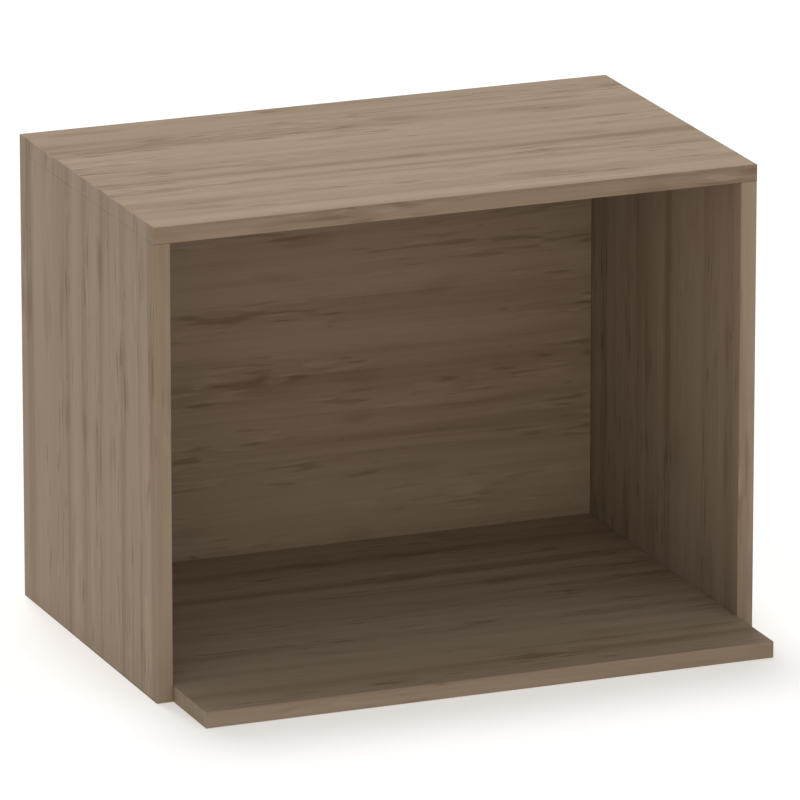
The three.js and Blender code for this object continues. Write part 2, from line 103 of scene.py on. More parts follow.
class Hand(Enum):
    """A side of the cabinet, by its word in the names of pieces."""

    LEFT = "left"
    RIGHT = "right"


# ---- Shader maths ----


class Wire:
    """A value that runs between shader nodes, so that maths on it is written as Python."""

    def __init__(self, recipe: "Recipe", socket: NodeSocket) -> None:
        """Wraps a node's output, in the recipe whose nodes the wire runs between."""
        self.recipe = recipe
        self.socket = socket

    def maths(self, operation: str, first: "Term", second: "Term" = 0.0) -> "Wire":
        """What a Math node works out from one or two values."""
        return self.recipe.node("ShaderNodeMath", {"operation": operation}, {0: first, 1: second})

    def __add__(self, other: "Term") -> "Wire":
        """This value and another together."""
        return self.maths("ADD", self, other)

    __radd__ = __add__

    def __sub__(self, other: "Term") -> "Wire":
        """This value less another."""
        return self.maths("SUBTRACT", self, other)

    def __rsub__(self, other: "Term") -> "Wire":
        """Another value less this one."""
        return self.maths("SUBTRACT", other, self)

    def __mul__(self, other: "Term") -> "Wire":
        """This value times another."""
        return self.maths("MULTIPLY", self, other)

    __rmul__ = __mul__

    def __pow__(self, other: "Term") -> "Wire":
        """This value to a power."""
        return self.maths("POWER", self, other)

    def __abs__(self) -> "Wire":
        """This value without its sign."""
        return self.maths("ABSOLUTE", self)

    def wrapped(self) -> "Wire":
        """What this value has beyond its last whole number."""
        return self.maths("FRACT", self)

    def rise(self, start: float, end: float) -> "Wire":
        """Goes smoothly from 0 to 1 while this value goes from start to end."""
        sockets = {"Value": self, "From Min": start, "From Max": end}
        return self.recipe.node("ShaderNodeMapRange", {"interpolation_type": "SMOOTHSTEP"}, sockets)


Term = Wire | float
Setting = Mapping[str, Any]


class Recipe:
    """The node tree of one finish."""

    def __init__(self, name: str) -> None:
        """Starts an empty material.

        Args:
            name: the finish's name.
        """
        self.material = bpy.data.materials.new(name)
        self.material.use_nodes = True
        self.tree = self.material.node_tree
        self.tree.nodes.clear()

    def node(
        self,
        kind: str,
        settings: Setting | None = None,
        sockets: Mapping[int | str, Any] | None = None,
        output: int | str = 0,
    ) -> Wire:
        """Adds a node.

        Args:
            kind: the node's type.
            settings: what is set on the node before its sockets, such as its operation or stops.
            sockets: a value or a wire for each input, by its name or place.
            output: the output that is asked for, by its name or place.

        Returns:
            That output.
        """
        made = self.tree.nodes.new(kind)
        for name, value in (settings or {}).items():
            if name == "stops":
                self._set_stops(made.color_ramp.elements, value)
            else:
                setattr(made, name, value)
        for key, value in (sockets or {}).items():
            socket = self._find(made.inputs, key)
            if isinstance(value, Wire):
                self.tree.links.new(value.socket, socket)
            else:
                socket.default_value = value
        return Wire(self, self._find(made.outputs, output))

    @staticmethod
    def _find(sockets: Sequence[NodeSocket], key: int | str) -> NodeSocket:
        """The socket at a place, or the one in use with a name."""
        named = (socket for socket in sockets if socket.name == key and socket.enabled)
        return sockets[key] if isinstance(key, int) else next(named)

    @staticmethod
    def _set_stops(elements: Any, stops: Stops) -> None:
        """Gives a colour ramp its stops.

        Args:
            elements: the ramp's elements, two as they come.
            stops: the place and colour of each.
        """
        while len(elements) < len(stops):
            elements.new(1.0)
        for element, (place, colour) in zip(elements, stops):
            element.position = place
            element.color = (*colour, 1.0)

    def place(self) -> Wire:
        """Where a point of the surface lies in its object."""
        return self.node("ShaderNodeTexCoord", output="Object")

    def parts(self, vector: Wire) -> tuple[Wire, Wire, Wire]:
        """The three numbers of a vector."""
        apart = self.node("ShaderNodeSeparateXYZ", {}, {0: vector}).socket.node
        return tuple(Wire(self, socket) for socket in apart.outputs)

    def vector(self, x: Term, y: Term, z: Term) -> Wire:
        """A vector from three numbers."""
        return self.node("ShaderNodeCombineXYZ", {}, {0: x, 1: y, 2: z})

    def stretched(self, vector: Wire, sizes: Sequence[float], shift: float) -> Wire:
        """A vector measured in a pattern's own sizes, and moved by a shift in those units."""
        sockets = {"Vector": vector, "Location": [shift] * 3, "Scale": [1.0 / size for size in sizes]}
        return self.node("ShaderNodeMapping", {}, sockets)

    def cloud(self, vector: Wire, sizes: Sequence[float], shift: float, detail: float) -> Wire:
        """A soft random pattern that seldom leaves -0.3 to 0.3, with some finer detail."""
        sockets = {"Vector": self.stretched(vector, sizes, shift), "Scale": 1.0, "Detail": detail}
        return self.node("ShaderNodeTexNoise", {}, sockets) - 0.5

    def ramp(self, value: Wire, stops: Stops) -> Wire:
        """A colour that follows a value through its stops."""
        return self.node("ShaderNodeValToRGB", {"stops": stops}, {0: value})

    def blend(self, share: Term, first: Wire | Colour, second: Wire | Colour) -> Wire:
        """Goes from the first colour to the second while the share goes from 0 to 1."""
        a, b = (value if isinstance(value, Wire) else (*value, 1.0) for value in (first, second))
        return self.node("ShaderNodeMix", {"data_type": "RGBA"}, {"Factor": share, "A": a, "B": b}, "Result")

    def finished(
        self, colour: Wire, roughness: Wire, height: Wire, depth: float, constants: Setting | None = None
    ) -> Material:
        """Ends the recipe with its surface.

        Args:
            colour: the base colour.
            roughness: the roughness.
            height: the relief, from 0 to 1.
            depth: the relief's real depth.
            constants: what is the same all over, by the shader's own socket names.

        Returns:
            The material.
        """
        relief = self.node("ShaderNodeBump", {}, {"Height": height, "Distance": depth}, "Normal")
        varied = {"Base Color": colour, "Roughness": roughness, "Normal": relief}
        shader = self.node("ShaderNodeBsdfPrincipled", {}, {**(constants or {}), **varied})
        self.node_out(shader)
        return self.material

    def node_out(self, shader: Wire) -> None:
        """Leads a shader to the material's output."""
        end = self.tree.nodes.new("ShaderNodeOutputMaterial")
        self.tree.links.new(shader.socket, end.inputs["Surface"])


# ---- Finishes ----


@dataclass(frozen=True)
class Layer:
    """One layer of a pattern: soft clouds, or the spots where the clouds rise over a threshold.

    On a board its sizes are (along the grain, across the grain, through the board).
    """

    sizes: Sequence[float]
    weight: float = 1.0
    rise: Station | None = None
    shift: float = 0.0
    detail: float = 0.0

    def over(self, recipe: Recipe, spot: Wire, variant: float = 0.0) -> Wire:
        """The layer's share in a value at a spot, on one stretch of the endless pattern."""
        cloud = recipe.cloud(spot, self.sizes, variant + self.shift, self.detail)
        return (cloud.rise(*self.rise) if self.rise else cloud) * self.weight


def mixed(shares: Shares, first: Wire, second: Wire) -> Wire:
    """A plain value with a share of each of two patterns."""
    return shares[0] + first * shares[1] + second * shares[2]


@dataclass(frozen=True)
class Lay:
    """How the figure lies on a board: the ways of its grain and of the board's thickness.

    The variant is the stretch of the endless figure that the board shows.
    """

    grain: Way
    through: Way
    variant: float


@dataclass(frozen=True)
class WoodFigure:
    """The printed wood: a matt taupe with long bands, dark ring lines, dashes and small eyes."""

    dark: Colour = (0.185, 0.127, 0.077)
    ground: Colour = (0.294, 0.220, 0.155)
    pale: Colour = (0.360, 0.276, 0.198)
    middle: float = 0.47
    strength: float = 0.89
    sway: Layer = Layer((0.42, 0.075, 0.05), 0.010)
    swell: Layer = Layer((1.7, 0.110, 0.009), 0.36)
    broad: Layer = Layer((2.1, 0.042, 0.006), 0.12, (-0.07, 0.07), shift=2.0)
    mid_bands: Layer = Layer((1.1, 0.021, 0.004), 0.158, (-0.12, -0.05), detail=0.5)
    pale_bands: Layer = Layer((1.1, 0.021, 0.004), 0.141, (0.04, 0.11), detail=0.5)
    band_level: float = 0.158
    fading: Layer = Layer((0.26, 0.060, 0.05), 1.8, shift=1.0)
    streaks: Layer = Layer((0.12, 0.0042, 0.004), 0.28, detail=1.0)
    ring_spacing: float = 0.052
    ring_edge: float = 10.0
    ring_bend: Layer = Layer((1.5, 0.075, 0.009), 4.0, shift=4.0)
    ring_zones: Layer = Layer((0.45, 0.045, 0.02), 0.16, (-0.05, 0.15))
    smears: Layer = Layer((0.085, 0.024, 0.02), 0.20, (0.10, 0.30), shift=6.0)
    patches: Layer = Layer((0.20, 0.026, 0.02), 1.0, (-0.04, 0.12))
    dashes: Layer = Layer((0.036, 0.0044, 0.004), 1.0, (0.06, 0.28))
    dash_shade: float = 0.30
    flecks: Layer = Layer((0.036, 0.0044, 0.004), 0.25, (0.08, 0.26), shift=9.0)
    eyes: Layer = Layer((0.030, 0.0105, 0.02), 0.30, (0.22, 0.33), detail=1.0)
    fibres: Layer = Layer((0.045, 0.0009, 0.004), 0.16)
    fibre_pores: Layer = Layer((0.045, 0.0009, 0.004), 0.6, (0.08, 0.25))

    def laid(self, recipe: Recipe, lay: Lay) -> tuple[Wire, Wire, Wire]:
        """Lays the figure on a board.

        Args:
            recipe: the recipe of the board's finish.
            lay: how the figure lies.

        Returns:
            The place as (along, across, through) in metres, swayed across the grain, how pale the
            wood is there, and how deep its pores are, both from 0 to 1.
        """
        across = next(way for way in Way if way not in (lay.grain, lay.through))
        place = recipe.parts(recipe.place())
        along, over, deep = (place[way.value] for way in (lay.grain, across, lay.through))
        over = over + self.sway.over(recipe, recipe.vector(along, over, deep))
        spot = recipe.vector(along, over, deep)

        def share(layer: Layer) -> Wire:
            """A layer's share on this board."""
            return layer.over(recipe, spot, lay.variant)

        bands = share(self.mid_bands) + share(self.pale_bands) - self.band_level
        bands = bands * (1 + share(self.fading))
        turns = over * (1 / self.ring_spacing) + share(self.ring_bend) + lay.variant
        rings = turns.wrapped() ** self.ring_edge * share(self.ring_zones)
        patches = share(self.patches)
        dashes = share(self.dashes) * patches
        paler = share(self.swell) + share(self.broad) + share(self.streaks) + share(self.fibres)
        paler = paler + share(self.flecks) * patches
        darker = rings + share(self.smears) + share(self.eyes) + dashes * self.dash_shade
        tone = 0.5 + (bands + paler - darker - 0.5 + self.middle) * self.strength
        return spot, tone, dashes + share(self.fibre_pores)

    def colour(self, recipe: Recipe, tone: Wire) -> Wire:
        """The colour at a paleness."""
        return recipe.ramp(tone, [(0.0, self.dark), (0.5, self.ground), (1.0, self.pale)])


@dataclass(frozen=True)
class Chipboard:
    """The raw core of a board, coarse in the middle and fine near the faces."""

    glue: Colour = (0.235, 0.150, 0.080)
    chip: Colour = (0.430, 0.300, 0.175)
    sliver: Colour = (0.620, 0.475, 0.310)
    sizes: Station = (2.6 * MM, 0.9 * MM)
    shape: Shares = (1.8, 1.4, 0.7)
    fine_from: Station = (0.45, 0.85)
    grit: Layer = Layer((0.4 * MM,) * 3, 0.5, detail=2.0)

    def core(self, recipe: Recipe, spot: Wire, depth: Wire) -> tuple[Wire, Wire]:
        """The colour and the relief of the raw core.

        Args:
            recipe: the recipe that it is for.
            spot: the place as (along, across, through).
            depth: how far the point is from the middle of the board, 0 to 1 at its faces.

        Returns:
            The colour, and the relief from 0 to 1.
        """
        layers = []
        for size in self.sizes:
            cells = recipe.stretched(spot, [size * share for share in self.shape], 0.0)
            sockets = {"Vector": cells, "Scale": 1.0}
            chips = recipe.node("ShaderNodeTexVoronoi", {}, sockets, "Color")
            layers.append(recipe.parts(chips)[0])
        coarse, fine = layers
        outer = depth.rise(*self.fine_from)
        value = coarse * (1 - outer) + fine * outer + self.grit.over(recipe, spot)
        stops = [(0.0, self.glue), (0.45, self.chip), (0.85, self.chip), (1.0, self.sliver)]
        return recipe.ramp(value, stops), value


@dataclass(frozen=True)
class FacedBoard:
    """A board with the printed wood on both faces and its raw core wherever it is cut."""

    lay: Lay
    middle: float
    thickness: float
    foil: Station = (0.30 * MM, 0.18 * MM)
    gloss: Shares = (0.50, 0.10, -0.06)
    core_roughness: float = 0.85
    core_relief: float = 4.0
    relief: float = 0.035 * MM

    def material(self, name: str) -> Material:
        """Makes the board's material.

        Args:
            name: the material's name.

        Returns:
            The material.
        """
        recipe = Recipe(name)
        figure = WoodFigure()
        spot, tone, pores = figure.laid(recipe, self.lay)
        half = self.thickness / 2
        depth = abs(recipe.parts(spot)[2] - self.middle) * (1 / half)
        faced = depth.rise(*(1 - under / half for under in self.foil))
        core, grit = Chipboard().core(recipe, spot, depth)
        colour = recipe.blend(faced, core, figure.colour(recipe, tone))
        roughness = mixed(self.gloss, pores, tone) * faced + (1 - faced) * self.core_roughness
        height = (1 - pores) * faced + grit * (1 - faced) * self.core_relief
        return recipe.finished(colour, roughness, height, self.relief, MELAMINE)


@dataclass(frozen=True)
class BandFinish:
    """An edge band's printed wood. A plain band is a little plainer than the faces, and darker by painted
    shade that stands in for the lesser light on the edges.
    """

    lay: Lay
    plain: bool
    contrast: float = 0.75
    # painted shade: how much darker the plain bands are made, for the lesser light on the edges
    painted_edge_shade: float = 0.09
    gloss: Shares = (0.48, 0.12, -0.05)
    relief: float = 0.03 * MM

    def material(self, name: str) -> Material:
        """Makes the band's material.

        Args:
            name: the material's name.

        Returns:
            The material.
        """
        recipe = Recipe(name)
        figure = WoodFigure()
        _, tone, pores = figure.laid(recipe, self.lay)
        if self.plain:
            # painted shade: plain bands are darkened here, standing in for the lesser light on the edges
            tone = 0.5 - self.painted_edge_shade + (tone - 0.5) * self.contrast
        colour = figure.colour(recipe, tone)
        roughness = mixed(self.gloss, pores, tone)
        return recipe.finished(colour, roughness, 1 - pores, self.relief, MELAMINE)


@dataclass(frozen=True)
class Hardboard:
    """The back panel's sheet: printed wood towards the inside, raw brown fibre elsewhere."""

    lay: Lay
    inner_face: float
    foil: Station = (0.15 * MM, 0.25 * MM)
    fibre: Stops = (
        (0.20, (0.130, 0.078, 0.042)),
        (0.50, (0.215, 0.135, 0.075)),
        (0.85, (0.300, 0.200, 0.120)),
    )
    felt: Layer = Layer((3.5 * MM, 0.8 * MM, 1.0 * MM), detail=3.0)
    patches: Layer = Layer((0.09, 0.06, 0.05), detail=2.0)
    tone: Shares = (0.5, 1.3, 0.5)
    gloss: Station = (0.52, 0.10)
    raw_roughness: Station = (0.80, 0.2)
    relief: float = 0.06 * MM

    def material(self, name: str) -> Material:
        """Makes the sheet's material.

        Args:
            name: the material's name.

        Returns:
            The material.
        """
        recipe = Recipe(name)
        figure = WoodFigure()
        spot, tone, pores = figure.laid(recipe, self.lay)
        raw = (recipe.parts(spot)[2] - self.inner_face).rise(*self.foil)
        felt = self.felt.over(recipe, spot)
        value = mixed(self.tone, felt, self.patches.over(recipe, spot))
        colour = recipe.blend(raw, figure.colour(recipe, tone), recipe.ramp(value, self.fibre))
        smooth = self.gloss[0] + pores * self.gloss[1]
        rough = self.raw_roughness[0] + felt * self.raw_roughness[1]
        roughness = smooth * (1 - raw) + rough * raw
        height = (1 - pores) * 0.5 * (1 - raw) + value * raw
        return recipe.finished(colour, roughness, height, self.relief, MELAMINE)


@dataclass(frozen=True)
class FittingFinish:
    """A fitting's finish. A broad and a fine pattern vary its colour and its roughness.

    Tone and roughness are a plain value and the patterns' shares. The tone runs through the stops.
    """

    broad: Layer
    fine: Layer
    stops: Stops
    tone: Shares
    roughness: Shares
    relief: float
    metal: bool = False

    def material(self, name: str) -> Material:
        """Makes the fitting's material.

        Args:
            name: the material's name.

        Returns:
            The material.
        """
        recipe = Recipe(name)
        spot = recipe.place()
        broad, fine = (layer.over(recipe, spot) for layer in (self.broad, self.fine))
        colour = recipe.ramp(mixed(self.tone, broad, fine), self.stops)
        roughness = mixed(self.roughness, broad, fine)
        constants = METAL if self.metal else None
        return recipe.finished(colour, roughness, 0.5 + fine, self.relief, constants)


@dataclass(frozen=True)
class CastZinc(FittingFinish):
    """The cams' bright die-cast zinc, softly mottled by the mould."""

    broad: Layer = Layer((2.8 * MM, 1.4 * MM, 1.4 * MM), detail=3.0)
    fine: Layer = Layer((0.25 * MM,) * 3, detail=2.0)
    stops: Stops = ((0.2, (0.36, 0.37, 0.38)), (0.8, (0.60, 0.61, 0.62)))
    tone: Shares = (0.5, 1.6, 0.4)
    roughness: Shares = (0.42, 0.35, 0.15)
    relief: float = 0.03 * MM
    metal: bool = True


@dataclass(frozen=True)
class PlatedSteel(FittingFinish):
    """Zinc-plated steel with a faint straw tint, and turning lines along X."""

    broad: Layer = Layer((5.0 * MM, 2.5 * MM, 2.5 * MM), detail=2.0)
    fine: Layer = Layer((0.12 * MM, 6.0 * MM, 6.0 * MM), detail=1.0)
    stops: Stops = ((0.25, (0.55, 0.50, 0.38)), (0.7, (0.68, 0.67, 0.62)))
    tone: Shares = (0.5, 1.0, 0.0)
    roughness: Shares = (0.28, 0.2, 0.2)
    relief: float = 0.01 * MM
    metal: bool = True


@dataclass(frozen=True)
class MouldedCap(FittingFinish):
    """The caps' brown plastic with a fine spark-eroded texture."""

    broad: Layer = Layer((6.0 * MM,) * 3, detail=1.0)
    fine: Layer = Layer((0.22 * MM,) * 3, detail=2.0)
    stops: Stops = ((0.0, (0.235, 0.178, 0.128)), (1.0, (0.290, 0.226, 0.168)))
    tone: Shares = (0.4, 1.4, 0.5)
    roughness: Shares = (0.50, 0.1, 0.25)
    relief: float = 0.02 * MM


@dataclass(frozen=True)
class RawBeech:
    """The dowels' beech: pale pinkish tan with short dark flecks along X."""

    stops: Stops = ((0.25, (0.530, 0.365, 0.225)), (0.75, (0.640, 0.470, 0.310)))
    fleck: Colour = (0.300, 0.170, 0.090)
    growth: Layer = Layer((30.0 * MM, 1.6 * MM, 4.0 * MM), detail=2.0)
    rays: Layer = Layer((2.2 * MM, 0.35 * MM, 0.35 * MM), rise=(0.12, 0.22))
    tone: Station = (0.5, 1.5)
    ray_shade: float = 0.7
    gloss: Station = (0.72, 0.2)
    ray_depth: float = 0.6
    relief: float = 0.05 * MM

    def material(self, name: str) -> Material:
        """Makes the wood's material.

        Args:
            name: the material's name.

        Returns:
            The material.
        """
        recipe = Recipe(name)
        spot = recipe.place()
        growth, rays = (layer.over(recipe, spot) for layer in (self.growth, self.rays))
        wood = recipe.ramp(self.tone[0] + growth * self.tone[1], self.stops)
        colour = recipe.blend(rays * self.ray_shade, wood, self.fleck)
        roughness = self.gloss[0] + growth * self.gloss[1]
        return recipe.finished(colour, roughness, 1 - rays * self.ray_depth + growth, self.relief)


# ---- Boards, bands and the back panel ----


def covered(mesh: Mesh, material: Material) -> Mesh:
    """Gives a piece's mesh its one material.

    Args:
        mesh: the mesh.
        material: the material.

    Returns:
        The mesh.
    """
    mesh.materials.clear()
    mesh.materials.append(material)
    return mesh


def dressed(piece: Object, finish: FacedBoard | BandFinish | Hardboard, arris: float) -> Object:
    """Dresses a constructed piece, and takes the sharpness off its arrises.

    Args:
        piece: the constructed piece.
        finish: what it is dressed in.
        arris: how much is taken off. The faces stay flat.

    Returns:
        The piece.
    """
    covered(piece.data, finish.material(f"{piece.name}_finish"))
    weld = piece.modifiers.new("joined", "WELD")
    weld.merge_threshold = SAME_POINT
    bevel = piece.modifiers.new("arris", "BEVEL")
    bevel.width = arris
    bevel.segments = ARRIS_STEPS
    bevel.limit_method = "ANGLE"
    bevel.angle_limit = BOARD_EDGE
    bevel.harden_normals = True
    return piece


@dataclass(frozen=True)
class Band:
    """An edge band: its name, how its figure lies, and whether it is plain, that is plainer and darkened by
    painted shade.
    """

    name: str
    lay: Lay
    plain: bool = True


@dataclass
class BoardWork:
    """A faced board with its edge bands. A prefix comes before all their names."""

    nodes: Mapping[str, Object]
    name: str
    lay: Lay
    bands: Sequence[Band]
    prefix: str = ""
    arris: float = 0.10 * MM
    band_arris: float = 0.08 * MM

    def build(self) -> list[Object]:
        """Dresses the board and its bands.

        Returns:
            The board, and then its bands.
        """
        name = self.prefix + self.name
        low, high = (corner[self.lay.through.value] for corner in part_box(name))
        faced = FacedBoard(self.lay, (low + high) / 2, high - low)
        made = [dressed(self.nodes[name], faced, self.arris)]
        for band in self.bands:
            finish = BandFinish(band.lay, band.plain)
            made.append(dressed(self.nodes[self.prefix + band.name], finish, self.band_arris))
        return made


@dataclass
class TopPanel(BoardWork):
    """The top panel. Its end bands carry on the figure of the sides under them."""

    name: str = "top_panel"
    lay: Lay = Lay(Way.WIDE, Way.HIGH, 3.0)
    bands: Sequence[Band] = (
        Band("top_front_band", Lay(Way.WIDE, Way.DEEP, 3.0)),
        Band("top_left_band", Lay(Way.HIGH, Way.WIDE, 7.0), plain=False),
        Band("top_right_band", Lay(Way.HIGH, Way.WIDE, 7.0), plain=False),
    )


@dataclass
class SidePanel(BoardWork):
    """A side panel, with its hand as the prefix."""

    name: str = "side_panel"
    lay: Lay = Lay(Way.HIGH, Way.WIDE, 7.0)
    bands: Sequence[Band] = (
        Band("side_front_band", Lay(Way.HIGH, Way.DEEP, 7.0)),
        Band("side_foot_band", Lay(Way.DEEP, Way.HIGH, 7.0)),
    )


@dataclass
class BaseShelf(BoardWork):
    """The base shelf, which stands out in front of the sides."""

    name: str = "base_panel"
    lay: Lay = Lay(Way.WIDE, Way.HIGH, 12.0)
    bands: Sequence[Band] = (
        Band("base_front_band", Lay(Way.WIDE, Way.DEEP, 12.0)),
        Band("base_left_band", Lay(Way.HIGH, Way.WIDE, 12.0)),
        Band("base_right_band", Lay(Way.HIGH, Way.WIDE, 12.0)),
    )


@dataclass
class HangingRail(BoardWork):
    """The rail that takes the wall screws."""

    name: str = "hanging_rail"
    lay: Lay = Lay(Way.WIDE, Way.DEEP, 18.0)
    bands: Sequence[Band] = (Band("hanging_rail_band", Lay(Way.WIDE, Way.HIGH, 18.0)),)


@dataclass
class BackPanel:
    """The thin back panel."""

    nodes: Mapping[str, Object]
    name: str = "back_panel"
    lay: Lay = Lay(Way.WIDE, Way.DEEP, 23.0)
    arris: float = 0.15 * MM

    def build(self) -> list[Object]:
        """Dresses the sheet."""
        inner_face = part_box(self.name)[0][self.lay.through.value]
        return [dressed(self.nodes[self.name], Hardboard(self.lay, inner_face), self.arris)]


# ---- Fittings ----


def lying(point: Vector, along: Vector, up: Vector) -> Matrix:
    """A frame at a point, with its X along one direction and its Z along another."""
    axes = Matrix((along, up.cross(along), up)).transposed()
    return Matrix.Translation(point) @ axes.to_4x4()


def ended(shape: bmesh.types.BMesh, name: str) -> Mesh:
    """Turns a finished shape into a mesh that is smooth between its arrises.

    Args:
        shape: the shape, which is used up.
        name: the mesh's name.

    Returns:
        The mesh.
    """
    bmesh.ops.recalc_face_normals(shape, faces=shape.faces)
    mesh = bpy.data.meshes.new(name)
    shape.to_mesh(mesh)
    shape.free()
    mesh.shade_smooth()
    mesh.set_sharp_from_angle(angle=SHARP)
    return mesh


def bend(middle: Station, reach: float, start: float, end: float, steps: int = 4) -> list[Station]:
    """An arc's stations in an outline, between angles in degrees from +X towards the outside."""
    turns = [math.radians(start + (end - start) * step / steps) for step in range(steps + 1)]
    return [(middle[0] + reach * math.cos(t), middle[1] + reach * math.sin(t)) for t in turns]


def turned(name: str, outline: Sequence[Station], steps: int, reach: Reach | None = None) -> Mesh:
    """Turns a piece about X.

    Args:
        name: the mesh's name.
        outline: (x, radius) from one end to the other; both ends are on the axis.
        steps: how many flats go round.
        reach: the radius at an x, an outline's radius and an angle, where it isn't simply round.

    Returns:
        The mesh.
    """
    shape = bmesh.new()
    rings = []
    for x, radius in outline:
        rings.append([])
        for step in range(steps if radius else 1):
            angle = step * math.tau / steps
            out = reach(x, radius, angle) if reach else radius
            rings[-1].append(shape.verts.new((x, out * math.cos(angle), out * math.sin(angle))))
    for here, there in zip(rings, rings[1:]):
        for step in range(steps):
            places = [(here, step), (here, step + 1), (there, step + 1), (there, step)]
            corners = dict.fromkeys(ring[place % len(ring)] for ring, place in places)
            shape.faces.new(list(corners))
    return ended(shape, name)


def prism(name: str, corners: Sequence[Station], low: float, high: float) -> Mesh:
    """A straight-sided piece along Z.

    Args:
        name: the mesh's name.
        corners: its outline, as (x, y).
        low: where it starts.
        high: where it ends.

    Returns:
        The mesh.
    """
    shape = bmesh.new()
    rings = [[shape.verts.new((x, y, z)) for x, y in corners] for z in (low, high)]
    for ring in rings:
        shape.faces.new(ring)
    for place in range(len(corners)):
        near, far = place, (place + 1) % len(corners)
        shape.faces.new([rings[0][near], rings[0][far], rings[1][far], rings[1][near]])
    return ended(shape, name)


def barrel(
    span: Station, radius: float, near: float, far: float, lip: float = 180, steps: int = 4
) -> list[Station]:
    """A cylinder's stations, its first rim rounded by near from the angle lip on, its last by far."""
    first = bend((span[0] + near, radius - near), near, lip, 90, steps)
    return first + bend((span[1] - far, radius - far), far, 90, 0, steps)


def stood_up(mesh: Mesh) -> Mesh:
    """Turns a piece that lies along X so that it stands along Z."""
    mesh.transform(Matrix.Rotation(-math.pi / 2, 4, "Y"))
    return mesh


def linked(name: str, data: bpy.types.ID) -> Object:
    """Adds an object to the scene.

    Args:
        name: its name.
        data: its mesh, light or camera.

    Returns:
        The object.
    """
    made = bpy.data.objects.new(name, data)
    bpy.context.collection.objects.link(made)
    return made


def worked(body: Mesh, tools: Sequence[Mesh], operation: str = "DIFFERENCE") -> Mesh:
    """Cuts tools from a piece, or joins them to it.

    Args:
        body: the piece.
        tools: what is cut away or joined on, used up by it.
        operation: DIFFERENCE or UNION.

    Returns:
        The worked mesh, under the piece's name.
    """
    name = body.name
    piece = linked(name, body)
    for tool in tools:
        cut = piece.modifiers.new("cut", "BOOLEAN")
        cut.operation = operation
        cut.solver = "MANIFOLD"
        cut.object = linked(tool.name, tool)
    weld = piece.modifiers.new("joined", "WELD")
    weld.merge_threshold = CUT_CRUMB
    view = bpy.context.evaluated_depsgraph_get()
    made = bpy.data.meshes.new_from_object(piece.evaluated_get(view))
    for mesh in (body, *tools):
        bpy.data.meshes.remove(mesh)
    made.name = name
    made.shade_smooth()
    made.set_sharp_from_angle(angle=SHARP)
    return made


@dataclass
class FittingWork:
    """What the small fittings have in common."""

    nodes: Mapping[str, Object]

    def names(self, word: str) -> list[str]:
        """The constructed pieces with a word in their names."""
        return sorted(name for name in self.nodes if word in name)

    def box(self, name: str) -> tuple[Vector, Vector]:
        """The middle and the size of a constructed piece."""
        low, high = (Vector(corner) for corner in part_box(name))
        return (low + high) / 2, high - low

    def fit(self, node: str, mesh: Mesh, frame: Matrix, slot: str) -> Object:
        """Puts a fine piece in the place of a constructed one.

        Args:
            node: the constructed piece.
            mesh: the fine piece's mesh, shared by its copies.
            frame: where it lies.
            slot: the record's name for its material; not used.

        Returns:
            The fine piece.
        """
        piece = linked(f"{node}_fine", mesh)
        piece.matrix_world = frame
        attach(piece, BODY)
        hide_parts(node)
        return piece


def towards(way: int, sign: float) -> Vector:
    """A unit vector along one way, with a sign."""
    return Vector([math.copysign(1, sign) if place == way else 0 for place in range(3)])


